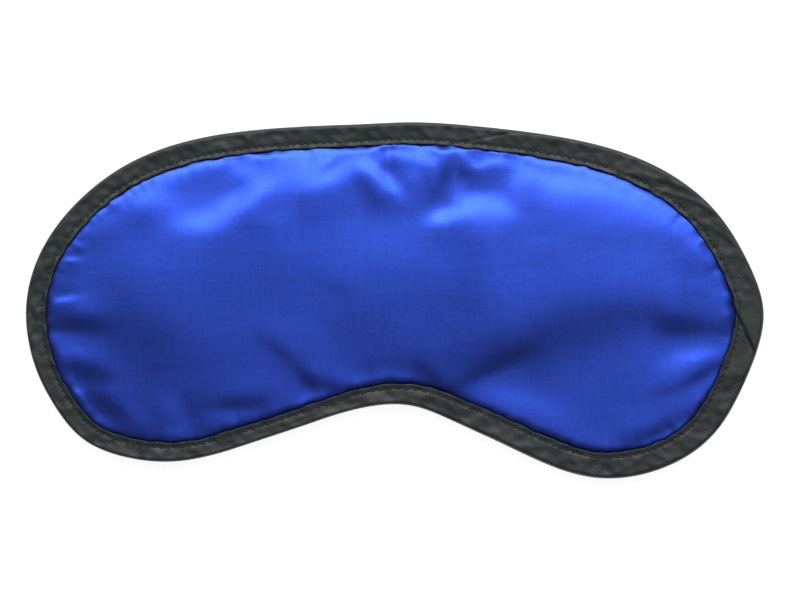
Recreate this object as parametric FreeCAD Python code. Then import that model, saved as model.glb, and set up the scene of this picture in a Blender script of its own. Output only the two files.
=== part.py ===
import FreeCAD, Part
import os

# Padded eye mask, laid flat on its back with the satin face up.
# +X runs along the mask, +Y points to the brow edge and +Z out of the satin face.
# The origin is the middle of the footprint, on the surface that the mask rests on. Millimetres.

# Outline of the bound edge, anticlockwise from the middle of the brow.
# The lower edge has two cheek lobes with the nose arch between them. The +X lobe hangs a little lower.
OUTLINE = [
    (2, 47.9), (-14, 47.4), (-28.5, 46.5), (-56, 42.7), (-72, 36.6), (-86, 26), (-95.2, 13.7),
    (-99.5, 0), (-98.6, -13.5), (-93.2, -27), (-84, -37.5), (-72.5, -42.7), (-58, -43.5),
    (-40, -38.8), (-20, -32.5), (0, -28.2), (17, -33.4), (36.5, -42.6), (53, -47.9),
    (70, -46), (84, -37.7), (93, -24.5), (98.2, -12), (99.5, -4), (95.5, 9.5),
    (85.3, 25), (69, 36.6), (45, 43.8), (22, 46.8),
]
OUTLINE_SAMPLES = 96

# Heights of the layers where the binding clamps them, from the underside up.
LINING_LOW = 1.5
LINING_HIGH = 1.9
COVER_LOW = 3.0
COVER_HIGH = 3.4
BINDING_HIGH = 4.2

# Edge binding: a tape folded into a channel round the raw edges.
BINDING_WIDTH = 6.3
BINDING_WALL = 0.9
BINDING_ROUNDING = 0.8
RAW_EDGE_GAP = 0.3
RAW_EDGE_INSET = BINDING_WALL + RAW_EDGE_GAP

# Foam crown inside the binding: (distance in from the outline, height of the foam's face).
FOAM_CROWN = [(6.7, 3.0), (8.0, 4.3), (10.5, 5.6), (14.0, 6.6), (18.0, 7.2)]

# Lock-stitch row round the binding.
STITCH_INSET = 5.0
THREAD_WIDTH = 0.4
THREAD_DEPTH = 0.25
THREAD_PROUD = 0.05

# Elastic headband on the back, sewn in at both ends of the mask.
HEADBAND_WIDTH = 10.0
HEADBAND_CENTRE_Y = -3.0
HEADBAND_LOW = 0.4
HEADBAND_THICKNESS = 0.8
HEADBAND_HALF_SPAN = 91.2
HEADBAND_END_GAP = 0.3
HEADBAND_END_OUTER = 97.0
HEADBAND_EDGE_RADIUS = 0.3

# Bar tacks that hold the sewn ends.
BARTACK_INNER = 95.2
BARTACK_WIDTH = 1.4
BARTACK_LOW = 0.05


def outline_curve(points):
    """Smooth closed curve through 2-D points."""
    curve = Part.BSplineCurve()
    curve.interpolate(Points=[FreeCAD.Vector(x, y, 0) for x, y in points], PeriodicFlag=True)
    return curve


def outline_frames():
    """Points spaced evenly along the outline, centred on the origin, each with its inward normal."""
    curve = outline_curve(OUTLINE)
    middle = curve.toShape().optimalBoundingBox().Center
    frames = []
    for point in curve.toShape().discretize(OUTLINE_SAMPLES + 1)[:-1]:
        tangent = curve.tangent(curve.parameter(point))[0]
        frames.append((point - middle, FreeCAD.Vector(-tangent.y, tangent.x, 0)))
    return frames


FRAMES = outline_frames()


def inset_wire(inset, height):
    """Closed wire at a height, the given distance in from the outline."""
    moved = [point + normal * inset for point, normal in FRAMES]
    wire = Part.Wire([outline_curve([(p.x, p.y) for p in moved]).toShape()])
    wire.translate(FreeCAD.Vector(0, 0, height))
    return wire


def slab(inset, low, high):
    """Flat plate with the mask's outline, cut back by the inset."""
    return Part.Face(inset_wire(inset, low)).extrude(FreeCAD.Vector(0, 0, high - low))


def ring(outer_inset, inner_inset, low, high):
    """Flat ring between two insets from the outline."""
    return slab(outer_inset, low, high).cut(slab(inner_inset, low, high))


def stack(sections):
    """Solid through (inset, height) sections, with straight walls between them."""
    return Part.makeLoft([inset_wire(inset, height) for inset, height in sections], True, True)


def headband_box(x_low, x_high, z_low, z_high):
    """Block across the headband's width."""
    corner = FreeCAD.Vector(x_low, HEADBAND_CENTRE_Y - HEADBAND_WIDTH / 2, z_low)
    return Part.makeBox(x_high - x_low, HEADBAND_WIDTH, z_high - z_low, corner)


def end_box(side, x_inner, x_outer, z_low, z_high):
    """Block across the headband's width at one end: side is -1 for -X and 1 for +X."""
    x_low, x_high = sorted((side * x_inner, side * x_outer))
    return headband_box(x_low, x_high, z_low, z_high)


def foam_dome():
    """Crowned part of the foam, inside the binding."""
    return stack(FOAM_CROWN)


def foam_pad():
    """Foam cut to the outline, pressed thin under the binding and crowned inside it."""
    return slab(RAW_EDGE_INSET, LINING_HIGH, COVER_LOW).fuse(foam_dome())


def front_cover():
    """Satin cover over the foam's face, with its rim clamped in the binding."""
    rise = COVER_HIGH - COVER_LOW
    crown = [(inset - rise / 2, height + rise) for inset, height in FOAM_CROWN]
    rim = slab(RAW_EDGE_INSET, COVER_LOW, COVER_HIGH)
    return rim.fuse(stack(crown)).cut(foam_dome())


def back_lining():
    """Flat lining under the foam, with its rim clamped in the binding."""
    return slab(RAW_EDGE_INSET, LINING_LOW, LINING_HIGH)


def stitch_ring(low, high):
    """Path of the lock-stitch row, as a thin ring."""
    return ring(STITCH_INSET, STITCH_INSET + THREAD_WIDTH, low, high)


def top_stitching():
    """Needle thread on the binding's face."""
    return stitch_ring(BINDING_HIGH - THREAD_DEPTH, BINDING_HIGH + THREAD_PROUD)


def bobbin_stitching():
    """Bobbin thread in the binding's underside, level with it."""
    return stitch_ring(0, THREAD_DEPTH)


def headband_end(side):
    """Sewn end of the elastic, between the binding's lower fold and the lining."""
    inner = HEADBAND_HALF_SPAN + HEADBAND_END_GAP
    return end_box(side, inner, HEADBAND_END_OUTER, HEADBAND_LOW, HEADBAND_LOW + HEADBAND_THICKNESS)


def headband_elastic():
    """Free length of the elastic, lying behind the lining."""
    half = HEADBAND_HALF_SPAN
    band = headband_box(-half, half, HEADBAND_LOW, HEADBAND_LOW + HEADBAND_THICKNESS)
    long_edges = [edge for edge in band.Edges if edge.Length > half]
    return band.makeFillet(HEADBAND_EDGE_RADIUS, long_edges)


def bartack(side):
    """Block of close zigzag stitches through the elastic's sewn end."""
    return end_box(side, BARTACK_INNER, BARTACK_INNER + BARTACK_WIDTH, BARTACK_LOW, HEADBAND_LOW)


def edge_binding():
    """Folded tape: a rounded channel round the layers' edges, with room for thread and elastic."""
    rolled = stack([
        (BINDING_ROUNDING, 0),
        (0, BINDING_ROUNDING),
        (0, BINDING_HIGH - BINDING_ROUNDING),
        (BINDING_ROUNDING, BINDING_HIGH),
    ])
    channel = rolled.cut(slab(BINDING_WIDTH, -1, BINDING_HIGH + 1))
    channel = channel.cut(slab(BINDING_WALL, LINING_LOW, COVER_HIGH))
    channel = channel.cut(top_stitching())
    channel = channel.cut(bobbin_stitching())
    for side in (-1, 1):
        channel = channel.cut(headband_end(side))
        channel = channel.cut(end_box(side, BARTACK_INNER, BARTACK_INNER + BARTACK_WIDTH, -1, HEADBAND_LOW))
    return channel


NODES = {
    "front_cover": front_cover(),
    "foam_pad": foam_pad(),
    "back_lining": back_lining(),
    "edge_binding": edge_binding(),
    "top_stitching": top_stitching(),
    "bobbin_stitching": bobbin_stitching(),
    "headband_elastic": headband_elastic(),
    "headband_left_end": headband_end(-1),
    "headband_right_end": headband_end(1),
    "left_bartack": bartack(-1),
    "right_bartack": bartack(1),
}

os.makedirs("parts", exist_ok=True)
for name, shape in NODES.items():
    shape.exportStep(f"parts/{name}.step")
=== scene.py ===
import math

import bpy
import numpy as np
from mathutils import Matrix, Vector
from mathutils.bvhtree import BVHTree
from mathutils.geometry import delaunay_2d_cdt


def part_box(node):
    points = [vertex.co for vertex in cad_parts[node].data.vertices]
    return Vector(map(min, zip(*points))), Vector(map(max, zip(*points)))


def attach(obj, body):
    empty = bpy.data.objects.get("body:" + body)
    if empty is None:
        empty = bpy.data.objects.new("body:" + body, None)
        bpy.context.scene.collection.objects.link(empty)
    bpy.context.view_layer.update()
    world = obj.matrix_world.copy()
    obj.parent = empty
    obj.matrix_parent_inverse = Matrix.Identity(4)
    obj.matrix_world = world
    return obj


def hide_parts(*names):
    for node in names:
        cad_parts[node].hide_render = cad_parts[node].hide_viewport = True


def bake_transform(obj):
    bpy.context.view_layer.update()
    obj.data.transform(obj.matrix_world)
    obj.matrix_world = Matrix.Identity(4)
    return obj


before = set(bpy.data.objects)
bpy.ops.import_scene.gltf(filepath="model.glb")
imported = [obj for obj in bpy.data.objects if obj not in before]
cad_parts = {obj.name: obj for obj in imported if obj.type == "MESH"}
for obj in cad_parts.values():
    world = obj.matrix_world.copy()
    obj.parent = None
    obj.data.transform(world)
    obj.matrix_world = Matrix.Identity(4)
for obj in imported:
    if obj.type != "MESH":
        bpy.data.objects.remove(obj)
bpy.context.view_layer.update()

# A padded eye mask lying on its back: satin face, foam, lining, bound edge, stitching and elastic headband.
# The frame is in metres. Every other length is in millimetres, scaled once when a mesh is made.
MM = 0.001

# Heights of the layers and corners of the headband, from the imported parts.
LINING_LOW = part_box("back_lining")[0].z / MM
COVER_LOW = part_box("front_cover")[0].z / MM
BAND_LOW, BAND_HIGH = (np.array(corner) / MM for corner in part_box("headband_elastic"))
LEFT_END_LOW = np.array(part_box("headband_left_end")[0]) / MM
RIGHT_END_HIGH = np.array(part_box("headband_right_end")[1]) / MM


# ---------------------------------------------------------------- outline

OUTLINE_STATIONS = 1260
OUTLINE_SMOOTHING = 2.5
TANGENT_SMOOTHING = 3
# A place from which straight lines reach every part of the outline, in metres.
RAY_CENTRE = (0, 0.008)
# How many points are measured against a path at a time, to save memory.
BLOCK = 1500


def periodic_smooth(values, sigma):
    """Gaussian smoothing of values round a loop; sigma counts samples."""
    reach = int(4 * sigma) + 1
    weights = np.exp(-0.5 * (np.arange(-reach, reach + 1) / sigma) ** 2)
    weights /= weights.sum()
    out = np.zeros_like(values, dtype=float)
    for shift, weight in zip(range(-reach, reach + 1), weights):
        out += weight * np.roll(values, shift, axis=0)
    return out


def resample_loop(points, count):
    """Points spaced evenly along a closed loop."""
    closed = np.vstack([points, points[:1]])
    along = np.concatenate([[0], np.cumsum(np.hypot(*np.diff(closed, axis=0).T))])
    steps = np.linspace(0, along[-1], count, endpoint=False)
    return np.stack([np.interp(steps, along, closed[:, k]) for k in (0, 1)], axis=1)


def cad_outline(node):
    """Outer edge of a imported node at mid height, in millimetres, anticlockwise."""
    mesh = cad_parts[node].data
    tree = BVHTree.FromPolygons([v.co for v in mesh.vertices], [p.vertices for p in mesh.polygons])
    low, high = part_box(node)
    centre = Vector((*RAY_CENTRE, (low.z + high.z) / 2))
    hits = []
    for k in range(OUTLINE_STATIONS):
        angle = 2 * math.pi * k / OUTLINE_STATIONS
        outward = Vector((math.cos(angle), math.sin(angle), 0))
        hit = tree.ray_cast(centre + outward * (high - low).length, -outward)[0]
        hits.append((hit.x / MM, hit.y / MM))
    loop = resample_loop(np.array(hits), OUTLINE_STATIONS)
    return resample_loop(periodic_smooth(loop, OUTLINE_SMOOTHING), OUTLINE_STATIONS)


def inward_normals(loop):
    """Unit vectors that point into a loop, one at each station."""
    run = periodic_smooth(np.roll(loop, -1, axis=0) - np.roll(loop, 1, axis=0), TANGENT_SMOOTHING)
    run /= np.linalg.norm(run, axis=1, keepdims=True)
    return np.stack([-run[:, 1], run[:, 0]], axis=1)


def directions(loop):
    """Direction of each station from the middle, 0 to 360 degrees."""
    return np.degrees(np.arctan2(loop[:, 1], loop[:, 0])) % 360


def round_table(angle, table, smoothing):
    """Values of a (direction, value) table at these directions, smoothed round the outline."""
    return periodic_smooth(np.interp(angle, *np.array(table).T), smoothing)


# How far the sewn edge strays outside the drawn outline, by direction from the middle: (degrees, millimetres).
EDGE_STRAYS = [
    (0, -0.2), (14, 0.0), (90, -0.1), (103, -0.35), (122, 0.0), (165, 0.25), (190, 0.2), (197, 0.0),
    (204, 0.65), (211, 0.0), (222, 0.4), (240, -0.1), (262, 0.35), (282, -0.1), (296, 0.25), (307, 0.05),
    (320, 0.3), (340, 0.5), (349, 0.0), (360, -0.2),
]
STRAY_SMOOTHING = 8


def with_strays(loop):
    """The outline with the small departures that sewing leaves in it."""
    stray = round_table(directions(loop), EDGE_STRAYS, STRAY_SMOOTHING)
    return resample_loop(loop - inward_normals(loop) * stray[:, None], OUTLINE_STATIONS)


EDGE = with_strays(cad_outline("edge_binding"))
STEP = np.hypot(*(np.roll(EDGE, -1, axis=0) - EDGE).T)
PERIMETER = STEP.sum()
ALONG = np.concatenate([[0], np.cumsum(STEP)[:-1]])
INWARD = inward_normals(EDGE)
# How squarely each station faces the brow: 1 where the outline's outside points along +Y.
BROWWARD = np.clip(-INWARD[:, 1], 0, 1)


def wobble(wavelengths, seed):
    """Smooth wandering value round the outline, about -1 to 1, with these wavelengths."""
    draw = np.random.default_rng(seed)
    total = np.zeros(OUTLINE_STATIONS)
    for wavelength in wavelengths:
        for turns in (0.8, 1.0, 1.27):
            waves = max(1, round(PERIMETER * turns / wavelength))
            total += np.sin(2 * math.pi * (waves * ALONG / PERIMETER + draw.random()))
    return total / math.sqrt(3 * len(wavelengths)) / 1.4


# Visible width of the binding on the face, by direction from the middle: (degrees, millimetres).
FACE_WIDTHS = [
    (0, 7.7), (8, 7.5), (22, 7.1), (40, 6.5), (60, 6.2), (90, 5.9), (115, 6.1), (140, 6.2),
    (158, 5.9), (180, 5.5), (210, 5.4), (222, 4.9), (238, 4.7), (270, 5.6), (300, 6.5),
    (315, 6.9), (338, 7.2), (353, 7.7), (360, 7.7),
]
WIDTH_SMOOTHING = 12
EVEN_WIDTH = round_table(directions(EDGE), FACE_WIDTHS, WIDTH_SMOOTHING)
# The tape's usual width, and how far its folded edges wander on the face and on the back.
USUAL_WIDTH = 6.2
FACE_WANDER, BACK_WANDER = 0.17, 0.12
FACE_WIDTH = EVEN_WIDTH + FACE_WANDER * wobble([5, 9, 23], 1)
BACK_WIDTH = USUAL_WIDTH + BACK_WANDER * wobble([11, 30], 2)


def inset(distance):
    """The outline moved inwards by a distance, or by one for each station."""
    return EDGE + INWARD * np.broadcast_to(distance, OUTLINE_STATIONS)[:, None]


def nearest_on_path(points, path):
    """Signed distance from each point to a path, positive on its left, and how far along it the nearest place is,
    0 to 1."""
    start = path[:-1]
    run = np.diff(path, axis=0)
    length_squared = (run**2).sum(1)
    distance = np.empty(len(points))
    place = np.empty(len(points))
    for first in range(0, len(points), BLOCK):
        block = points[first : first + BLOCK]
        offset = block[:, None, :] - start[None]
        share = np.clip((offset * run[None]).sum(2) / length_squared, 0, 1)
        away = ((offset - share[..., None] * run[None]) ** 2).sum(2)
        best = away.argmin(1)
        rows = np.arange(len(block))
        offset = offset[rows, best]
        left = run[best, 0] * offset[:, 1] - run[best, 1] * offset[:, 0]
        distance[first : first + BLOCK] = np.copysign(np.sqrt(away[rows, best]), left)
        place[first : first + BLOCK] = (best + share[rows, best]) / len(run)
    return distance, place


def nearest_on_loop(points, loop):
    """Distance from each point to a closed loop, and how far round the loop the nearest place is, 0 to 1."""
    distance, place = nearest_on_path(points, np.vstack([loop, loop[:1]]))
    return np.abs(distance), place


# ---------------------------------------------------------------- meshes

# Sides of a thread's tube, and how much narrower its two ends are.
TUBE_SIDES = 8
TUBE_END = 0.55
# Rings of a filled loop that lie this far in or more have half as many points, and the even lattice starts
# this many spacings inside the last ring.
THIN_RINGS_FROM = 1
LATTICE_GAP = 0.7


def mesh_object(name, points, faces, uvs=None):
    """A smooth-shaded object from points in millimetres. uvs gives one pair for each point."""
    mesh = bpy.data.meshes.new(name)
    mesh.from_pydata((np.asarray(points, float) * MM).tolist(), [], [list(f) for f in faces])
    if uvs is not None:
        layer = mesh.uv_layers.new(name="UVMap")
        corners = np.empty(len(mesh.loops), np.int32)
        mesh.loops.foreach_get("vertex_index", corners)
        layer.data.foreach_set("uv", np.asarray(uvs, np.float32)[corners].ravel())
    mesh.validate()
    mesh.polygons.foreach_set("use_smooth", [True] * len(mesh.polygons))
    made = bpy.data.objects.new(name, mesh)
    bpy.context.scene.collection.objects.link(made)
    return made


def grid_faces(rows, columns, wrap_rows=False, wrap_columns=False):
    """Quads of a grid of points stored row by row."""
    faces = []
    for r in range(rows if wrap_rows else rows - 1):
        for c in range(columns if wrap_columns else columns - 1):
            r2, c2 = (r + 1) % rows, (c + 1) % columns
            faces.append((r * columns + c, r2 * columns + c, r2 * columns + c2, r * columns + c2))
    return faces


def filled_loop(rim, spacing, rings, skip=1):
    """Triangles that fill a closed loop: rings of points near the rim, and an even lattice inside them.
    skip keeps one station of the rim in so many."""
    rim = rim[::skip]
    loops = []
    for distance in rings:
        moved = rim + INWARD[::skip] * distance
        loops.append(moved if distance < THIN_RINGS_FROM else resample_loop(moved, len(rim) // 2))
    low, high = rim.min(0), rim.max(0)
    rows = np.arange(low[1], high[1], spacing * math.sqrt(3) / 2)
    lattice = np.array([
        (x, y)
        for k, y in enumerate(rows)
        for x in np.arange(low[0] + (k % 2) * spacing / 2, high[0], spacing)
    ])
    distance, _ = nearest_on_loop(lattice, rim)
    lattice = lattice[inside(lattice, rim) & (distance > rings[-1] + LATTICE_GAP * spacing)]
    points = np.vstack([*loops, lattice])
    count = len(rim)
    edges = [(k, (k + 1) % count) for k in range(count)]
    found, _, faces, *_ = delaunay_2d_cdt([Vector(p) for p in points], edges, [], 1, 1e-5)
    return np.array([tuple(p) for p in found]), faces


def inside(points, loop):
    """Which points lie inside a closed loop."""
    x, y = points[:, 0], points[:, 1]
    hit = np.zeros(len(points), bool)
    for (x1, y1), (x2, y2) in zip(loop, np.roll(loop, -1, axis=0)):
        if y1 == y2:
            continue
        crosses = ((y1 > y) != (y2 > y)) & (x < (x2 - x1) * (y - y1) / (y2 - y1) + x1)
        hit ^= crosses
    return hit


def thicken(piece, thickness):
    """Gives a sheet its thickness, on the side away from its normals."""
    modifier = piece.modifiers.new("thickness", "SOLIDIFY")
    modifier.thickness = thickness * MM
    modifier.offset = -1


def tubes(name, paths, radius):
    """Threads: each path is a list of points in millimetres, and each becomes a closed round tube."""
    points, faces, uvs = [], [], []
    for path in paths:
        path = np.asarray(path, float)
        first = len(points)
        run = np.gradient(path, axis=0)
        run /= np.linalg.norm(run, axis=1, keepdims=True)
        side = np.cross(run, (0, 0, 1))
        side /= np.linalg.norm(side, axis=1, keepdims=True)
        up = np.cross(side, run)
        length = np.concatenate([[0], np.cumsum(np.linalg.norm(np.diff(path, axis=0), axis=1))])
        for k, centre in enumerate(path):
            end = k in (0, len(path) - 1)
            for j in range(TUBE_SIDES):
                turn = 2 * math.pi * j / TUBE_SIDES
                spoke = side[k] * math.cos(turn) + up[k] * math.sin(turn)
                points.append(centre + spoke * radius * (TUBE_END if end else 1))
                uvs.append((length[k], j / TUBE_SIDES))
        rings = len(path)
        faces += [tuple(first + i for i in f) for f in grid_faces(rings, TUBE_SIDES, wrap_columns=True)]
        faces.append(tuple(first + j for j in range(TUBE_SIDES)))
        faces.append(tuple(first + (rings - 1) * TUBE_SIDES + j for j in reversed(range(TUBE_SIDES))))
    return mesh_object(name, points, faces, uvs)


# ---------------------------------------------------------------- materials


class Material:
    """A Principled material with short ways to add and link nodes."""

    def __init__(self, name, **values):
        self.material = bpy.data.materials.new(name)
        self.material.use_nodes = True
        self.tree = self.material.node_tree
        self.shader = next(n for n in self.tree.nodes if n.type == "BSDF_PRINCIPLED")
        for socket, value in values.items():
            self.shader.inputs[socket.replace("_", " ")].default_value = value

    def node(self, kind, **settings):
        made = self.tree.nodes.new(kind)
        for key, value in settings.items():
            setattr(made, key, value)
        return made

    def link(self, source, target):
        self.tree.links.new(source, target)

    def math(self, operation, a, b=None):
        made = self.node("ShaderNodeMath", operation=operation)
        for socket, value in zip(made.inputs, (a, b)):
            if value is None:
                continue
            if isinstance(value, (int, float)):
                socket.default_value = value
            else:
                self.link(value, socket)
        return made.outputs[0]

    def place(self, source="Object"):
        """X, Y and Z of a texture coordinate. Object gives metres, UV gives millimetres in this script."""
        coordinates = self.node("ShaderNodeTexCoord")
        split = self.node("ShaderNodeSeparateXYZ")
        self.link(coordinates.outputs[source], split.inputs[0])
        return coordinates.outputs[source], split.outputs

    def noise(self, where, scale, detail=3.0, stretch=(1, 1, 1)):
        mapping = self.node("ShaderNodeMapping")
        mapping.inputs["Scale"].default_value = stretch
        self.link(where, mapping.inputs["Vector"])
        made = self.node("ShaderNodeTexNoise")
        made.inputs["Scale"].default_value = scale
        made.inputs["Detail"].default_value = detail
        self.link(mapping.outputs[0], made.inputs["Vector"])
        return made.outputs["Fac"]

    def wave(self, value, period, shift=None):
        """Sine of a coordinate, from 0 to 1."""
        turns = self.math("MULTIPLY", value, 2 * math.pi / period)
        if shift is not None:
            turns = self.math("ADD", turns, shift)
        return self.math("ADD", self.math("MULTIPLY", self.math("SINE", turns), 0.5), 0.5)

    def colour(self, factor, dark, light):
        ramp = self.node("ShaderNodeValToRGB")
        ramp.color_ramp.elements[0].color = (*dark, 1)
        ramp.color_ramp.elements[1].color = (*light, 1)
        self.link(factor, ramp.inputs[0])
        self.link(ramp.outputs[0], self.shader.inputs["Base Color"])

    def roughness(self, factor, low, high):
        spread = self.node("ShaderNodeMapRange")
        spread.inputs["To Min"].default_value = low
        spread.inputs["To Max"].default_value = high
        self.link(factor, spread.inputs["Value"])
        self.link(spread.outputs[0], self.shader.inputs["Roughness"])

    def bump(self, height, depth):
        """Relief from a height of 0 to 1 that is this many millimetres deep."""
        made = self.node("ShaderNodeBump")
        made.inputs["Strength"].default_value = 1.0
        made.inputs["Distance"].default_value = depth * MM
        self.link(height, made.inputs["Height"])
        self.link(made.outputs[0], self.shader.inputs["Normal"])


SATIN_DARK = (0.021, 0.058, 0.45)
SATIN_LIGHT = (0.054, 0.138, 0.94)


def satin_material():
    """Blue satin: a fine grain of crossing threads, with faint uneven weft and warp lines."""
    m = Material("satin", Metallic=1.0, Sheen_Weight=0.03, Sheen_Roughness=0.8)
    where, axes = m.place()
    ribs = m.wave(axes["Y"], 0.62 * MM, m.math("MULTIPLY", m.noise(where, 60, 2), 9.0))
    weft = m.noise(where, 1000, 2, (0.07, 1.5, 1))
    warp = m.noise(where, 1000, 2, (1.3, 0.10, 1))
    grain = m.noise(where, 1100, 3)
    lines = m.math("ADD", m.math("MULTIPLY", weft, 0.30), m.math("MULTIPLY", warp, 0.22))
    weave = m.math("ADD", m.math("MULTIPLY", grain, 0.40), m.math("MULTIPLY", ribs, 0.08))
    weave = m.math("ADD", weave, lines)
    m.colour(weave, SATIN_DARK, SATIN_LIGHT)
    m.roughness(weft, 0.37, 0.43)
    m.bump(weave, 0.02)
    return m.material


def tape_material():
    """Charcoal bias tape: a plain weave that runs diagonally across it, with a soft shine and a little lint."""
    m = Material("binding_tape", Specular_IOR_Level=0.6)
    _, axes = m.place("UV")
    space, _ = m.place()
    wander = m.math("MULTIPLY", m.noise(space, 300, 2), 7.0)
    along = m.wave(m.math("ADD", axes["X"], axes["Y"]), 0.6, wander)
    across = m.wave(m.math("SUBTRACT", axes["X"], axes["Y"]), 0.6, wander)
    lint = m.noise(space, 1900, 4)
    cloudy = m.noise(space, 300, 4)
    tone = m.math("ADD", m.math("MULTIPLY", lint, 0.6), m.math("MULTIPLY", cloudy, 0.4))
    m.colour(tone, (0.002, 0.004, 0.004), (0.017, 0.032, 0.031))
    m.roughness(cloudy, 0.38, 0.62)
    weave = m.math("MULTIPLY", m.math("MULTIPLY", along, across), 0.4)
    relief = m.math("ADD", lint, m.math("MULTIPLY", cloudy, 2.0))
    m.bump(m.math("ADD", weave, relief), 0.055)
    return m.material


def thread_material():
    """Dark spun thread with a two-ply twist."""
    m = Material("thread", Sheen_Weight=0.2)
    _, axes = m.place("UV")
    twist = m.wave(m.math("ADD", axes["X"], axes["Y"]), 0.5)
    m.colour(twist, (0.004, 0.004, 0.004), (0.022, 0.024, 0.023))
    m.roughness(twist, 0.5, 0.7)
    m.bump(twist, 0.04)
    return m.material


def lining_material():
    """Near-black plain-weave lining with a low sheen."""
    m = Material("lining", Sheen_Weight=0.25, Sheen_Roughness=0.4)
    where, axes = m.place()
    weave = m.math("MULTIPLY", m.wave(axes["X"], 0.5 * MM), m.wave(axes["Y"], 0.5 * MM))
    lint = m.noise(where, 1500, 4)
    m.colour(m.math("ADD", m.math("MULTIPLY", weave, 0.5), m.math("MULTIPLY", lint, 0.5)),
             (0.010, 0.011, 0.014), (0.034, 0.036, 0.044))
    m.roughness(lint, 0.55, 0.75)
    m.bump(m.math("ADD", weave, lint), 0.05)
    return m.material


def elastic_material():
    """Black woven elastic: ribs along it, crossed by the fine weft."""
    m = Material("elastic", Sheen_Weight=0.2, Sheen_Roughness=0.4)
    where, axes = m.place()
    weft = m.wave(axes["X"], 0.7 * MM)
    ribs = m.wave(axes["Y"], 1.1 * MM)
    lint = m.noise(where, 1800, 3)
    tone = m.math("ADD", m.math("MULTIPLY", m.math("MULTIPLY", weft, ribs), 0.6), m.math("MULTIPLY", lint, 0.4))
    m.colour(tone, (0.008, 0.008, 0.010), (0.040, 0.040, 0.046))
    m.roughness(lint, 0.5, 0.7)
    m.bump(m.math("ADD", weft, lint), 0.08)
    return m.material


def foam_material():
    """Off-white open-cell foam."""
    m = Material("foam", Subsurface_Weight=0.1)
    where, _ = m.place()
    cells = m.node("ShaderNodeTexVoronoi")
    cells.inputs["Scale"].default_value = 1300
    m.link(where, cells.inputs["Vector"])
    m.colour(cells.outputs["Distance"], (0.82, 0.80, 0.72), (0.52, 0.50, 0.44))
    m.roughness(m.noise(where, 500), 0.8, 0.95)
    m.bump(cells.outputs["Distance"], 0.3)
    return m.material


def finish_piece(piece, material, slot, *nodes):
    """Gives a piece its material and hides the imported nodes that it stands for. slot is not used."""
    piece.data.materials.append(material)
    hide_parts(*nodes)


# ---------------------------------------------------------------- satin cover

# How far the satin runs on under the tape, and how much it is pressed down there.
COVER_TUCK = 1.2
COVER_PRESS = 0.35
SATIN_THICKNESS = 0.3
SATIN_SPACING = 0.8
SATIN_RINGS = [0, 0.4, 0.8, 1.2, 1.6, 2.0, 2.5, 3.1, 3.8, 4.5]

# The roll that rises beside the satin's seam, and how much higher the seam sits at the brow and the ends.
SEAM_RISE, SEAM_REACH = 0.9, 0.75
BROW_SEAM_LIFT, END_SEAM_LIFT = 0.42, 0.40
# Crown of the pad.
CROWN_RISE, CROWN_REACH = 2.8, 22
# Folds and swell start this far in from the seam.
PADDING_REACH = 1.0
# The seam stays level under a fold: the fold's height there is taken off, fading over this distance.
FOLD_SEAM_REACH = 18.0
FOLD_SEAM_SMOOTHING = 8.0
FOLD_SEAM_SKIP = 9

# Cloth simulation of the satin over the foam.
SWELL_SPACING = 3.0
SWELL_RINGS = [0, 1.6]
SWELL_SKIP = 7
SWELL_PINNED = 0.3
SWELL_SMOOTHING = 4.0
SWELL_FRAMES = 20
SWELL_PRESSURE = 4.0
SWELL_CAP = 3.0


def round_seam(values, place):
    """Values given for each station of the outline, read at places round it from 0 to 1."""
    return np.interp(place * OUTLINE_STATIONS, np.arange(OUTLINE_STATIONS), values, period=OUTLINE_STATIONS)


def seam_roll(distance, place):
    """Height of the narrow roll beside the seam. Along the brow and at the ends the seam itself sits higher."""
    drop = SEAM_RISE - BROW_SEAM_LIFT * BROWWARD - END_SEAM_LIFT * INWARD[:, 0] ** 2
    return SEAM_RISE - round_seam(drop, place) * np.exp(-distance / SEAM_REACH)


def simulated_swell():
    """The satin over the foam, sewn down at its seam and pressed up from inside.
    Gives places in the plan and how high each is over the roll beside the seam."""
    seam = inset(FACE_WIDTH)
    flat, faces = filled_loop(seam, SWELL_SPACING, SWELL_RINGS, SWELL_SKIP)
    distance, place = nearest_on_loop(flat, seam)
    crown = CROWN_RISE * (1 - np.exp(-((distance / CROWN_REACH) ** 2)))
    start = crown + seam_roll(distance, place)
    sheet = mesh_object("swelling_sheet", np.column_stack([flat, start]), faces)
    pinned = sheet.vertex_groups.new(name="seam")
    pinned.add([int(k) for k in np.flatnonzero(distance < SWELL_PINNED)], 1.0, "REPLACE")
    cloth = sheet.modifiers.new("swell", "CLOTH").settings
    cloth.quality = 6
    cloth.mass = 0.15
    cloth.tension_stiffness = cloth.compression_stiffness = 15
    cloth.shear_stiffness = 5
    cloth.bending_stiffness = 0.5
    cloth.vertex_group_mass = "seam"
    cloth.use_pressure = True
    cloth.uniform_pressure_force = SWELL_PRESSURE
    cloth.effector_weights.gravity = 0
    scene = bpy.context.scene
    for number in range(1, SWELL_FRAMES + 1):
        scene.frame_set(number)
    shape = sheet.evaluated_get(bpy.context.evaluated_depsgraph_get()).data
    risen = np.array([v.co.z for v in shape.vertices]) / MM
    scene.frame_set(1)
    bpy.data.objects.remove(sheet)
    return flat, crown + np.clip(risen - start, -SWELL_CAP, SWELL_CAP)


def spread(points, sources, values, reach):
    """Values carried smoothly from scattered sources to points."""
    out = np.empty(len(points))
    for first in range(0, len(points), BLOCK):
        block = points[first : first + BLOCK]
        away = ((block[:, None, :] - sources[None]) ** 2).sum(2)
        weight = np.exp(-away / (2 * reach**2))
        out[first : first + BLOCK] = (weight * values).sum(1) / weight.sum(1)
    return out


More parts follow.
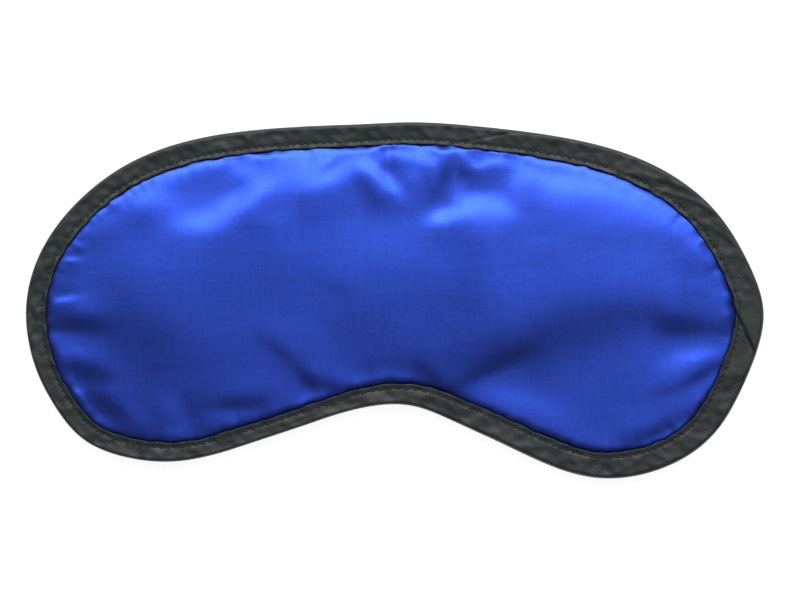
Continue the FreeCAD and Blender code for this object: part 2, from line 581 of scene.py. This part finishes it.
# Soft folds of the padded face. Each is a patch that leans towards the brow (positive) or the cheeks
# (negative): centre x and y, half length and half width in millimetres, direction in degrees, slope.
PATCHES = [
    # hollow under the brow of the left lobe, with the rim of the padding round it
    (-48, 31.5, 9, 4, 20, 0.10), (-42, 35.5, 6, 2.6, 26, 0.08), (-40, 35, 4.5, 3.2, 8, 0.19),
    (-37, 30, 5, 3.5, 15, 0.13), (-64, 27, 8, 4, 4, 0.12), (-55, 21, 7, 4.0, 4, 0.13),
    (-47, 22, 7, 4.8, 24, 0.18), (-46, 26.5, 6, 3.5, 30, 0.07), (-41, 26.5, 5, 3.5, 20, 0.13),
    (-33.5, 22.5, 6, 4, 0, 0.13), (-34, 15.5, 7, 5, 0, 0.06), (-39, 28, 7, 4.6, 38, 0.21),
    (-38, 33, 5, 4.4, 45, 0.12), (-50, 36, 12, 2.4, 16, 0.14), (-42, 38.4, 8, 2.0, 12, 0.14),
    (-62, 32, 7, 2.4, 28, 0.10), (-68, 28, 7, 3, 24, 0.09), (-78, 21, 5, 1.8, 36, 0.10),
    # brow band between the left hollow and the middle
    (-25, 35.5, 11, 7, 6, 0.22), (-16, 37, 7, 3.2, 0, 0.12), (-27, 38.6, 9, 2.2, 4, 0.06),
    (-20, 31.8, 6, 3, 16, 0.13),
    # small fold in the brow band
    (-17.5, 36.2, 3.0, 1.2, 40, -0.16),
    # waves under the brow, right of the middle
    (5, 38.8, 7, 2.6, 0, 0.28), (-2, 39.8, 4, 1.6, 0, 0.26), (-3.4, 33.6, 2.6, 1.8, -40, 0.10),
    (5.5, 33.5, 4.5, 4, 0, 0.08), (-3.5, 38, 3, 1.8, -30, 0.18), (3, 34, 5, 3, 0, 0.14),
    (14.5, 36, 2.6, 3.0, 30, -0.19), (12.8, 32.6, 2.6, 2.4, 40, -0.11), (11.2, 28.8, 3.0, 3.2, 20, -0.15),
    (25, 33, 5, 2.6, 8, 0.09), (32, 31, 3, 4, 0, 0.12), (32, 36.5, 4, 2, 0, 0.12),
    (19.5, 38.2, 2.4, 1.4, -40, 0.24), (22.5, 35.8, 2.4, 1.3, 0, 0.18), (22.3, 39.5, 2.8, 1.1, -6, 0.28),
    (10.5, 37, 2.4, 1.6, 20, 0.10), (25.5, 37.3, 6, 1.9, 6, 0.32), (24, 24.6, 8.5, 6.8, 3, 0.21),
    (16, 24, 9, 3.5, 10, 0.08), (27, 28.5, 6, 3, 0, 0.08), (20, 27.8, 6, 2.2, 0, 0.08),
    (30.5, 24, 3, 4, 0, 0.07), (13.5, 22.6, 6, 2.4, 20, 0.24), (32.5, 26, 3, 4.5, 80, 0.06),
    (18, 31, 2, 2, 0, 0.08),
    # brow band of the right lobe
    (35, 34, 5, 3.4, 20, 0.18), (43, 31.5, 8, 5, -6, 0.19), (55, 30.5, 9, 3.6, -18, 0.13),
    (66, 26.5, 8, 3.0, -34, 0.06), (76, 19.5, 8, 3.2, -46, 0.15), (83, 12.5, 4, 1.8, -56, 0.16),
    (40, 15.5, 6, 3, 0, 0.07), (65, 7, 16, 4, 0, -0.03), (39, 22.5, 6, 3.5, 0, 0.10), (62, 16, 14, 6, 0, -0.12),
    (60, 8, 16, 5, 0, -0.05), (54, 13, 20, 10, 0, -0.08),
    # pulls at the right end
    (77, -15.5, 7, 2.4, 10, 0.04), (83, -19.6, 7, 2.6, 28, -0.38), (73, -24.5, 5, 2, 20, -0.12),
    (70, -24, 16, 9, 10, -0.15), (72, -27, 12, 5, 15, -0.06), (57, -33, 8, 4, 0, -0.04),
    (72, -29, 13, 5, 22, -0.07), (66, -3.5, 18, 7, 0, -0.14), (62, 0, 20, 5, 0, -0.05),
    (73, -33.8, 11, 3.4, 30, -0.30), (63, -37, 6, 2.5, 14, -0.16), (70, -38.2, 5, 0.9, 22, 0.08),
    (89.8, -3.6, 1.2, 0.8, -50, 0.30), (82, 9.5, 5, 2.2, -60, -0.08),
    # padding under the sag, towards the nose arch
    (30, -26, 8, 3.4, -24, 0.08), (40, -28.5, 9, 4, -25, 0.08),
    # middle, over the nose
    (-16, 3, 5, 2.4, -20, -0.06), (-55, 2, 28, 10, 0, -0.08), (-66, -25, 22, 11, 0, -0.12),
    (-68, -9, 20, 9, 0, -0.09), (-60, -16, 14, 8, 0, -0.06), (4, -12, 13, 6, 0, 0.05),
    (9.5, -20.5, 4.5, 1.8, -40, -0.14), (-33, -4, 9, 12, 0, 0.05), (-8, -21.5, 5, 1.6, 16, 0.14),
    (3, -20.8, 5, 1.3, -10, 0.14), (12, -5, 14, 8, 0, 0.06), (13, -13, 7, 4, 0, 0.03), (20, 8, 8, 8, 0, 0.05),
    (12, -11, 9, 5, 0, 0.06), (18, -6, 6, 4, 0, 0.05), (6, 8, 32, 15, 0, 0.06), (-27, 15, 7, 8, 0, 0.03),
    (0, 17, 30, 7, 0, 0.04),
    # crease from the left lobe to the nose arch
    (-24.5, -27.2, 5, 1.4, 28, 0.20), (-43, -28, 8, 2.2, 4, -0.22), (-59, -31, 4, 3, 60, -0.20),
    (-60, -26, 6, 3, 0, -0.06), (-76, -26, 8, 4, 0, -0.08), (-41, -27, 9, 4, 10, -0.06),
    (-56, -35, 16, 3, 4, -0.14), (-74, -33, 8, 3, -30, -0.12), (-60, -35.2, 1.6, 1.0, 20, 0.12),
    (-21, -9, 8, 4, -62, 0.04), (-76, -23.5, 4, 1.2, 10, 0.04), (-23, -22, 3, 2.2, -30, -0.14),
    (-15, -23.6, 4, 1.6, -10, -0.12),
    # puckers where the left end is gathered
    (-87.5, 11, 3, 0.9, 4, 0.26), (-85, 15, 2, 0.9, 8, 0.12), (-81, 15, 3.5, 2.2, 0, -0.03),
    (-90, 0, 4, 1.0, 12, 0.28), (-86, -6.5, 7, 2.8, 0, -0.34), (-86, -11.4, 5, 1.6, -14, -0.03),
    (-84, -19, 7, 2.8, -14, -0.26), (-85.5, -25, 2.4, 1.4, -40, 0.20), (-78, -28.5, 6, 2.4, -30, -0.26),
]

# Long folds: (half width at the start, half width at the end, slope, points along the fold).
# The slope fades to nothing at both ends.
LONG_FOLDS = [
    # sag across the right lobe, from the sewn end of the headband to the nose arch
    (6, 15, -0.21,
     [(8, -25), (19, -17.5), (30, -13), (40, -10), (50, -8.2), (61, -7.2), (74, -6.8), (88, -7), (104, -8)]),
    (2.6, 2.6, -0.18, [(6, -32), (13.5, -25.5), (20.5, -21), (27.5, -17.2), (34.5, -13.8), (41, -11)]),
    (4.2, 5.4, -0.28, [(66, -7), (75, -7.5), (84, -8), (94, -8.5), (106, -9)]),
    # crease from the left lobe down to the nose arch
    (2.6, 2.6, -0.10, [(-40, -7), (-35, -11), (-30, -15), (-25.5, -19.5), (-20, -23), (-12, -25), (-6, -26)]),
    # folds that fan out from the middle of the brow
    (2.5, 2.6, 0.45, [(-10.5, 40.5), (-6.8, 36.3), (-4, 33.2), (-1, 29.8), (3.5, 24)]),
    (2.0, 2.0, -0.03, [(-12, 44), (-9, 41.5), (-3.5, 38.5), (0, 34.5), (3, 30)]),
    (2.2, 2.2, -0.04, [(-16, 40), (-12, 36), (-9, 31.5), (-6, 27), (-3, 23)]),
]
LONG_FOLD_STEPS = 60
LONG_FOLD_FADE = 0.3
# Profile of a fold, in half widths: its height, how steep its middle is (the two multiply to 1), and how far
# away it eases back.
LEAN_RISE, LEAN_STEEPNESS, LEAN_EASE = 0.886, 1.128, 2.6


def lean(across):
    """Profile of a fold: steepest at its middle, then easing back slowly, so that only the middle shows."""
    return LEAN_RISE * np.tanh(LEAN_STEEPNESS * across) * np.exp(-((across / LEAN_EASE) ** 2))


def fold_height(points):
    """Height of the folds at each point."""
    height = np.zeros(len(points))
    for x, y, half_length, half_width, direction, slope in PATCHES:
        turn = math.radians(direction)
        dx, dy = points[:, 0] - x, points[:, 1] - y
        along = (dx * math.cos(turn) + dy * math.sin(turn)) / half_length
        across = (dy * math.cos(turn) - dx * math.sin(turn)) / half_width
        height -= slope * half_width * lean(across) * np.exp(-(along**2))
    for start_width, end_width, slope, route in LONG_FOLDS:
        across, place = nearest_on_path(points, smooth_route(route, LONG_FOLD_STEPS))
        half_width = start_width + (end_width - start_width) * ease(place)
        strength = ease(place / LONG_FOLD_FADE) * ease((1 - place) / LONG_FOLD_FADE)
        height -= slope * half_width * strength * lean(across / half_width)
    return height


def ease(value):
    """Smooth step from 0 to 1."""
    value = np.clip(value, 0, 1)
    return value * value * (3 - 2 * value)


def smooth_route(points, steps):
    """Evenly stepped places on a smooth curve (Catmull-Rom) through the points."""
    points = np.array(points, float)
    ends = np.vstack([2 * points[0] - points[1], points, 2 * points[-1] - points[-2]])
    places = []
    for value in np.linspace(0, len(points) - 1 - 1e-6, steps):
        k, t = int(value), value % 1
        a, b, c, d = ends[k : k + 4]
        bend = 2 * a - 5 * b + 4 * c - d
        twist = 3 * b - a - 3 * c + d
        places.append(0.5 * (2 * b + (c - a) * t + bend * t**2 + twist * t**3))
    return np.array(places)


# The seam is gathered most about this place: how much more, and how far round it.
BROW_GATHERS = np.array([6.0, 47.0])
GATHERS_GAIN, GATHERS_REACH = 1.6, 24


def pucker_height(distance, place):
    """Small gathers along the seam, where the satin is held by the stitches."""
    draw = np.random.default_rng(21)
    height = np.zeros(len(distance))
    at = 0.0
    while at < PERIMETER:
        at += draw.uniform(2.2, 5.5)
        width = draw.uniform(0.7, 1.3)
        size = draw.uniform(0.06, 0.22) * draw.choice([-1, 1])
        reach = draw.uniform(1.0, 3.4)
        station = int(at / PERIMETER * OUTLINE_STATIONS) % OUTLINE_STATIONS
        from_gathers = np.linalg.norm(EDGE[station] - BROW_GATHERS)
        size *= 1 + GATHERS_GAIN * math.exp(-((from_gathers / GATHERS_REACH) ** 2))
        gap = (place * PERIMETER - at + PERIMETER / 2) % PERIMETER - PERIMETER / 2
        height += size * np.exp(-((gap / width) ** 2)) * np.exp(-np.maximum(distance, 0) / reach)
    return height


def satin_height(points, swell):
    """Height of the satin's face at each point."""
    seam = inset(FACE_WIDTH)
    distance, place = nearest_on_loop(points, seam)
    distance = np.where(inside(points, seam), distance, -distance)
    above = np.maximum(distance, 0)
    fade = 1 - np.exp(-((above / PADDING_REACH) ** 2))
    marks = seam[::FOLD_SEAM_SKIP]
    at_seam = spread(points, marks, fold_height(marks), FOLD_SEAM_SMOOTHING)
    folds = fold_height(points) - at_seam * np.exp(-((above / FOLD_SEAM_REACH) ** 2))
    padding = fade * (folds + spread(points, *swell, SWELL_SMOOTHING))
    height = COVER_LOW + COVER_PRESS + seam_roll(above, place) + padding + pucker_height(above, place)
    under_tape = np.clip(-distance / COVER_TUCK, 0, 1)
    return height - COVER_PRESS * under_tape


def satin_cover(material, swell):
    """The blue face, from its raw edge under the tape to the crown of the pad."""
    rim = inset(FACE_WIDTH - COVER_TUCK)
    points, faces = filled_loop(rim, SATIN_SPACING, SATIN_RINGS)
    height = satin_height(points, swell)
    piece = mesh_object("satin_cover", np.column_stack([points, height]), faces)
    thicken(piece, SATIN_THICKNESS)
    finish_piece(piece, material, "satin", "front_cover")
    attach(piece, "mask_panel")


# ---------------------------------------------------------------- foam and lining

FOAM_INSET = 2.2
FOAM_SPACING = 2.2
FOAM_RINGS = [0, 0.8, 1.8, 3.0, 4.4]
# Least thickness of the foam, gap between it and the satin, and height of its back over the lining's underside.
FOAM_PRESSED = 0.3
FOAM_CLEARANCE = 0.35
FOAM_RAISED = 0.75

# How far the lining runs on under the tape.
LINING_TUCK = 1.0
LINING_THICKNESS = 0.2
LINING_RAISED = 0.22
# Height of the lining's slack waves, how far in from the seam they reach full height, and the share of the
# seam's gathers that it has.
LINING_SLACK = 0.08
LINING_SLACK_REACH = 4
LINING_GATHERS = 0.5
LINING_SPACING = 1.2
LINING_RINGS = [0, 0.5, 1.0, 1.6, 2.4, 3.4]


def foam_pad(material, swell):
    """Foam under the satin: crowned face, flat back, rim pressed thin between the layers."""
    points, faces = filled_loop(inset(FOAM_INSET), FOAM_SPACING, FOAM_RINGS)
    bottom = np.full(len(points), LINING_LOW + FOAM_RAISED)
    top = np.maximum(satin_height(points, swell) - SATIN_THICKNESS - FOAM_CLEARANCE, bottom + FOAM_PRESSED)
    piece = mesh_object("foam_core", *closed_between(points, top, bottom, faces))
    finish_piece(piece, material, "foam", "foam_pad")
    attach(piece, "mask_panel")


def closed_between(points, top, bottom, faces):
    """Points and faces of the solid between two heights over the same triangles."""
    count = len(points)
    runs = {(f[k - 1], f[k]) for f in faces for k in range(3)}
    walls = [(b, a, a + count, b + count) for a, b in runs if (b, a) not in runs]
    floor = [tuple(i + count for i in reversed(f)) for f in faces]
    solid = np.vstack([np.column_stack([points, top]), np.column_stack([points, bottom])])
    return solid, [tuple(f) for f in faces] + floor + walls


def back_lining(material):
    """Lining against the face, drawn a little slack between its seams."""
    rim = inset(BACK_WIDTH - LINING_TUCK)
    points, faces = filled_loop(rim, LINING_SPACING, LINING_RINGS)
    distance, place = nearest_on_loop(points, rim)
    x, y = points.T
    slack = LINING_SLACK * np.sin(x / 9 + 2 * np.sin(y / 13)) * np.sin(y / 7)
    puckers = LINING_GATHERS * pucker_height(distance, place)
    height = LINING_LOW + LINING_RAISED + slack * (1 - np.exp(-distance / LINING_SLACK_REACH)) + puckers
    piece = mesh_object("lining_cloth", np.column_stack([points, height]), faces)
    thicken(piece, LINING_THICKNESS)
    finish_piece(piece, material, "lining", "back_lining")
    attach(piece, "mask_panel")


# ---------------------------------------------------------------- edge binding

# How far the stitch line is from the folded edge of the tape, and the length from stitch to stitch.
STITCH_FROM_EDGE = 1.3
STITCH_PITCH = 2.05

# Diagonal line where the tape's end laps over its start, at the +X end of the mask.
LAP_POINT = np.array([94.2, -8.4])
LAP_DIRECTION = np.array([0.42, -0.91])
# Height of the upper end, how far it fades back along the tape, and the groove beside it.
LAP_RISE, LAP_FADE = 0.45, 3.5
LAP_GROOVE, LAP_GROOVE_AT, LAP_GROOVE_WIDTH = 0.25, 0.30, 0.35
LAP_SOFTNESS = 0.30
LAP_HALF_LENGTH = 14
# The creases keep away from the lap by about this much.
LAP_CLEAR = 11


def tape_section(face, back, stitch):
    """Section of the folded tape as (distance in from the outline, height), once round.
    It runs over the face, round the edge, under the back and home along the inside of the channel."""
    flap = face - stitch
    return np.array([
        (face - 0.10, 3.90), (face, 4.34), (face - 0.12, 4.48), (face - 0.40 * flap, 4.44),
        (face - 0.70 * flap, 4.36), (stitch, 4.28), (stitch - 0.35, 4.34), (stitch - 0.80, 4.41),
        (0.62 * stitch, 4.45), (0.52 * stitch, 4.47), (0.42 * stitch, 4.50), (0.30 * stitch, 4.56),
        (0.18 * stitch, 4.58), (0.09 * stitch, 4.38), (0.035 * stitch, 3.90), (0.01 * stitch, 3.20),
        (0, 2.40), (0.02 * face, 1.80), (0.06 * face, 1.20), (0.14 * face, 0.62),
        (0.27 * face, 0.28), (0.45 * face, 0.17), (back - 1.70, 0.18), (back - STITCH_FROM_EDGE, 0.30),
        (back - 0.90, 0.18), (back - 0.35, 0.17), (back, 0.30), (back - 0.12, 0.48),
        (back - 1.00, 0.50), (0.50 * face, 0.55), (0.20 * face, 0.85), (0.13 * face, 1.60),
        (0.11 * face, 2.60), (0.15 * face, 3.25), (0.27 * face, 3.58), (0.50 * face, 3.66),
        (face - 1.00, 3.66),
    ])


# Columns of the section: the rounded crest, all of the face, those that the stitches draw in, and the two
# stitch lines. The columns of the face are made finer by this many steps.
TAPE_CREST = slice(6, 14)
FACE_FIRST, FACE_LAST = 1, 13
GATHERED = slice(2, 8)
# How high the tape stands between two stitches, column by column, and the share of it that is left where the
# outline turns away from the brow.
GATHER_HEIGHTS = np.array([0.01, 0.015, 0.035, 0.05, 0.035, 0.015])
GATHER_LEAST = 0.4
# Slow waves of the crest: height, wavelengths round the edge, seed, and half turns across the crest.
CREST_WAVES = [(0.16, [15, 36], 3, 1), (0.09, [19, 47], 4, 2)]
# Fine unevenness: its wavelengths, the height of one that is 1 mm long, and how heights grow with length.
RELIEF_WAVES = (3.7, 5.2, 7.9, 12.0)
RELIEF_HEIGHT, RELIEF_GROWTH = 0.006, 0.8
FACE_STITCH, BACK_STITCH = 5, 23
FINE_STEPS = 3


def fine_columns(count):
    """Which columns to keep of a section that was made finer: all of those on the face, one in three elsewhere."""
    fine = range(FACE_FIRST * FINE_STEPS, FACE_LAST * FINE_STEPS + 1)
    return [k for k in range(count * FINE_STEPS) if k % FINE_STEPS == 0 or k in fine]


def finer(values):
    """Columns of a closed section, with more on a smooth curve between those of the face."""
    before, after, beyond = (np.roll(values, shift, axis=1) for shift in (1, -1, -2))
    steps = []
    for t in np.arange(FINE_STEPS) / FINE_STEPS:
        bend = 2 * before - 5 * values + 4 * after - beyond
        twist = 3 * values - before - 3 * after + beyond
        steps.append(values + 0.5 * ((after - before) * t + bend * t**2 + twist * t**3))
    count = values.shape[1]
    return np.stack(steps, axis=2).reshape(len(values), -1)[:, fine_columns(count)]


def lap_height(points):
    """Extra height of the tape's overlapping end: a step along a diagonal, fading back along the tape."""
    normal = np.array([-LAP_DIRECTION[1], LAP_DIRECTION[0]])
    across = (points - LAP_POINT) @ normal
    step = 0.5 + 0.5 * np.tanh(across / LAP_SOFTNESS)
    fade = np.exp(-((np.maximum(across, 0) / LAP_FADE) ** 2))
    near = np.exp(-((((points - LAP_POINT) @ LAP_DIRECTION) / LAP_HALF_LENGTH) ** 4))
    groove = np.exp(-(((across + LAP_GROOVE_AT) / LAP_GROOVE_WIDTH) ** 2))
    return (LAP_RISE * step * fade - LAP_GROOVE * groove) * near


def bias_creases():
    """Slight diagonal ridges that a bias tape throws as it turns: (place round the edge, size, lean, width)."""
    draw = np.random.default_rng(5)
    creases = []
    at = 0.0
    while at < PERIMETER:
        at += draw.uniform(6, 16)
        creases.append((at, draw.uniform(-0.14, 0.18), draw.uniform(1.2, 4.2), draw.uniform(1.6, 3.4)))
    return creases


def tape_relief(depth):
    """Fine unevenness of the tape, from waves that run along it and slantwise over it."""
    draw = np.random.default_rng(11)
    relief = np.zeros(depth.shape)
    for wavelength in RELIEF_WAVES:
        for slant in draw.uniform(-1.0, 1.8, 3):
            waves = round(PERIMETER / wavelength)
            turns = waves * ALONG[:, None] / PERIMETER + depth * slant / wavelength + draw.random()
            relief += RELIEF_HEIGHT * wavelength**RELIEF_GROWTH * np.sin(2 * math.pi * turns)
    return relief


def tape_surface():
    """Distance in from the outline and height of every column of the tape, at each station, and the columns'
    numbers in the finer section. The face has its waves, gathers and creases."""
    stitch = EVEN_WIDTH - STITCH_FROM_EDGE
    sections = np.array([tape_section(f, b, w) for f, b, w in zip(FACE_WIDTH, BACK_WIDTH, stitch)])
    depth, height = sections[..., 0], sections[..., 1]
    share = (depth / stitch[:, None])[:, TAPE_CREST]
    for size, wavelengths, seed, half_turns in CREST_WAVES:
        height[:, TAPE_CREST] += size * wobble(wavelengths, seed)[:, None] * np.sin(half_turns * math.pi * share)
    stitches = round(PERIMETER / STITCH_PITCH)
    gathers = np.cos(2 * math.pi * (stitches * ALONG / PERIMETER - 0.5))
    gathers *= GATHER_LEAST + (1 - GATHER_LEAST) * BROWWARD
    height[:, GATHERED] += GATHER_HEIGHTS * gathers[:, None]
    kept = fine_columns(depth.shape[1])
    face = slice(kept.index(FACE_FIRST * FINE_STEPS), kept.index(FACE_LAST * FINE_STEPS) + 1)
    depth, height = finer(depth), finer(height)
    clear = 1 - np.exp(-((np.linalg.norm(EDGE - LAP_POINT, axis=1) / LAP_CLEAR) ** 4))
    for at, size, slant, width in bias_creases():
        gap = (ALONG[:, None] - at - slant * (depth - 3) + PERIMETER / 2) % PERIMETER - PERIMETER / 2
        ridge = size * clear[:, None] * np.exp(-((gap / width) ** 2))
        height[:, face] += ridge[:, face]
    height[:, face] += (clear[:, None] * tape_relief(depth))[:, face]
    place = tape_places(depth)
    height[:, face] += lap_height(place.reshape(-1, 2)).reshape(height.shape)[:, face]
    return depth, height, kept


def tape_places(depth):
    """Places in the plan at these distances in from the outline."""
    return EDGE[:, None, :] + INWARD[:, None, :] * depth[..., None]


def edge_binding(material):
    """The bound edge: one tape folded round the layers, with its lap, creases and stitched-down flap.
    Gives the tape's height along the two stitch lines."""
    depth, height, kept = tape_surface()
    points = np.concatenate([tape_places(depth), height[..., None]], axis=2).reshape(-1, 3)
    section = tape_section(USUAL_WIDTH, USUAL_WIDTH, USUAL_WIDTH - STITCH_FROM_EDGE)
    girth = np.concatenate([[0], np.cumsum(np.hypot(*np.diff(section, axis=0).T))])
    girth = np.interp(np.array(kept) / FINE_STEPS, np.arange(len(girth)), girth)
    uvs = np.stack(np.meshgrid(ALONG, girth, indexing="ij"), axis=2).reshape(-1, 2)
    faces = grid_faces(OUTLINE_STATIONS, len(kept), wrap_rows=True, wrap_columns=True)
    piece = mesh_object("bound_edge", points, faces, uvs)
    finish_piece(piece, material, "binding_tape", "edge_binding")
    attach(piece, "mask_panel")
    return [height[:, kept.index(column * FINE_STEPS)] for column in (FACE_STITCH, BACK_STITCH)]


# ---------------------------------------------------------------- stitching

THREAD_RADIUS = 0.19
STITCH_POINTS = 8
# Start and length of a stitch as shares of the pitch; the ends dip into the tape and the middle stands proud.
STITCH_START, STITCH_LENGTH = 0.14, 0.74
STITCH_DIP, STITCH_ARCH = 0.16, 0.26

BARTACK_RADIUS = 0.13
BARTACK_STROKES = 17
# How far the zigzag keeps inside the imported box, its height in it, and how far each stroke bows out.
BARTACK_INSET_X, BARTACK_INSET_Y = 0.1, 0.2
BARTACK_HEIGHT, BARTACK_BOW = 0.14, 0.05


def stitch_row(name, depth, skin, side, material, node):
    """A row of lock stitches along a line inside the outline. side is 1 on the face and -1 on the back."""
    line = (*inset(depth).T, skin)
    count = round(PERIMETER / STITCH_PITCH)
    pitch = PERIMETER / count
    arch = np.sin(np.linspace(0, math.pi, STITCH_POINTS)) ** 0.6
    paths = []
    for k in range(count):
        at = (k + STITCH_START) * pitch + np.linspace(0, STITCH_LENGTH, STITCH_POINTS) * pitch
        columns = [np.interp(at, ALONG, values, period=PERIMETER) for values in line]
        columns[2] = columns[2] + side * (STITCH_ARCH * arch - STITCH_DIP)
        paths.append(np.stack(columns, axis=1))
    piece = tubes(name, paths, THREAD_RADIUS)
    finish_piece(piece, material, "thread", node)
    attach(piece, "mask_panel")


def bartack(name, material, node):
    """Close zigzag stitches across the elastic's sewn end, on the back of the tape."""
    low, high = (np.array(corner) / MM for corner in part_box(node))
    rows = np.linspace(low[1] + BARTACK_INSET_Y, high[1] - BARTACK_INSET_Y, BARTACK_STROKES)
    xs = np.where(np.arange(BARTACK_STROKES) % 2, low[0] + BARTACK_INSET_X, high[0] - BARTACK_INSET_X)
    zigzag = np.column_stack([xs, rows, np.full(BARTACK_STROKES, low[2] + BARTACK_HEIGHT)])
    dense = [zigzag[0]]
    for a, b in zip(zigzag[:-1], zigzag[1:]):
        for share in (0.2, 0.5, 0.8, 1.0):
            dense.append(a + (b - a) * share - np.array([0, 0, BARTACK_BOW * math.sin(share * math.pi)]))
    piece = tubes(name, [dense], BARTACK_RADIUS)
    finish_piece(piece, material, "thread", node)
    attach(piece, "mask_panel")


# ---------------------------------------------------------------- headband

ELASTIC_STATIONS = 150
ELASTIC_COLUMNS = 61
WEFT_PITCH, WEFT_HEIGHT = 1.4, 0.03
RIB_PITCH, RIB_HEIGHT = 1.1, 0.06
# How far the woven faces lie inside the elastic's packed thickness, to leave room for the ribs.
RIB_ROOM = 0.1


def elastic_half(name, side, material, node):
    """Half of the woven elastic, from its sewn end to the middle."""
    outer = LEFT_END_LOW[0] if side < 0 else RIGHT_END_HIGH[0]
    _, half, thick = (BAND_HIGH - BAND_LOW) / 2
    _, middle, centre = (BAND_HIGH + BAND_LOW) / 2
    points = []
    turns = 2 * ELASTIC_COLUMNS
    for x in np.linspace(*sorted((outer, 0)), ELASTIC_STATIONS):
        weft = WEFT_HEIGHT * math.sin(2 * math.pi * x / WEFT_PITCH)
        for k in range(turns):
            top = 1 if k < ELASTIC_COLUMNS else -1
            share = top * ((k % ELASTIC_COLUMNS + 0.5) / ELASTIC_COLUMNS * 2 - 1)
            edge = math.sqrt(1 - abs(share) ** 10)
            rib = RIB_HEIGHT * math.cos(2 * math.pi * share * half / RIB_PITCH)
            rise = (thick - RIB_ROOM + rib) * edge + weft
            points.append((x, middle + share * half, centre + top * rise))
    faces = grid_faces(ELASTIC_STATIONS, turns, wrap_columns=True)
    faces.append(tuple(range(turns)))
    faces.append(tuple(reversed(range(len(points) - turns, len(points)))))
    piece = mesh_object(name, points, faces)
    # flat ends, so that no line shows where the halves meet
    for cap in (-1, -2):
        piece.data.polygons[cap].use_smooth = False
    finish_piece(piece, material, "elastic", "headband_elastic", node)
    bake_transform(piece)


# ---------------------------------------------------------------- studio

FLOOR_HALF_SIDE = 3000


def area_light(name, place, size, power):
    """A soft box aimed at the mask. Its place and size are in metres."""
    data = bpy.data.lights.new(name, "AREA")
    data.shape = "RECTANGLE"
    data.size, data.size_y = size
    data.energy = power
    light = bpy.data.objects.new(name, data)
    light.location = place
    light.rotation_euler = (-Vector(place)).to_track_quat("-Z", "Y").to_euler()
    bpy.context.scene.collection.objects.link(light)


def studio():
    """Pale floor, a large key light beyond the brow, a weaker one overhead, and dim surroundings."""
    far = FLOOR_HALF_SIDE
    floor = mesh_object("floor", [(-far, -far, 0), (far, -far, 0), (far, far, 0), (-far, far, 0)], [(0, 1, 2, 3)])
    m = Material("floor", Roughness=0.9, Emission_Strength=0.90)
    m.shader.inputs["Base Color"].default_value = (0.35, 0.35, 0.35, 1)
    m.shader.inputs["Emission Color"].default_value = (1, 1, 1, 1)
    floor.data.materials.append(m.material)
    area_light("key", (0.05, 1.0, 1.1), (2.0, 0.6), 22.0)
    area_light("overhead", (0.2, 0.16, 1.7), (2.0, 1.0), 4.0)
    world = bpy.data.worlds.new("surroundings")
    world.use_nodes = True
    world.node_tree.nodes["Background"].inputs["Color"].default_value = (0.11, 0.11, 0.11, 1)
    bpy.context.scene.world = world
    bpy.context.scene.view_settings.view_transform = "Standard"


def camera():
    """Long lens, straight above the mask."""
    data = bpy.data.cameras.new("camera")
    data.lens = 166
    data.sensor_width = 36
    made = bpy.data.objects.new("camera", data)
    made.location = (0.0012, -0.0001, 0.9985)
    bpy.context.scene.collection.objects.link(made)
    bpy.context.scene.camera = made


def build_mask():
    """Every piece of the mask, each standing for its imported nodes."""
    thread = thread_material()
    swell = simulated_swell()
    satin_cover(satin_material(), swell)
    foam_pad(foam_material(), swell)
    back_lining(lining_material())
    face_skin, back_skin = edge_binding(tape_material())
    stitch_row("face_stitches", EVEN_WIDTH - STITCH_FROM_EDGE, face_skin, 1, thread, "top_stitching")
    stitch_row("back_stitches", BACK_WIDTH - STITCH_FROM_EDGE, back_skin, -1, thread, "bobbin_stitching")
    bartack("bartack_left", thread, "left_bartack")
    bartack("bartack_right", thread, "right_bartack")
    elastic = elastic_material()
    elastic_half("elastic_left", -1, elastic, "headband_left_end")
    elastic_half("elastic_right", 1, elastic, "headband_right_end")


camera()
studio()
build_mask()
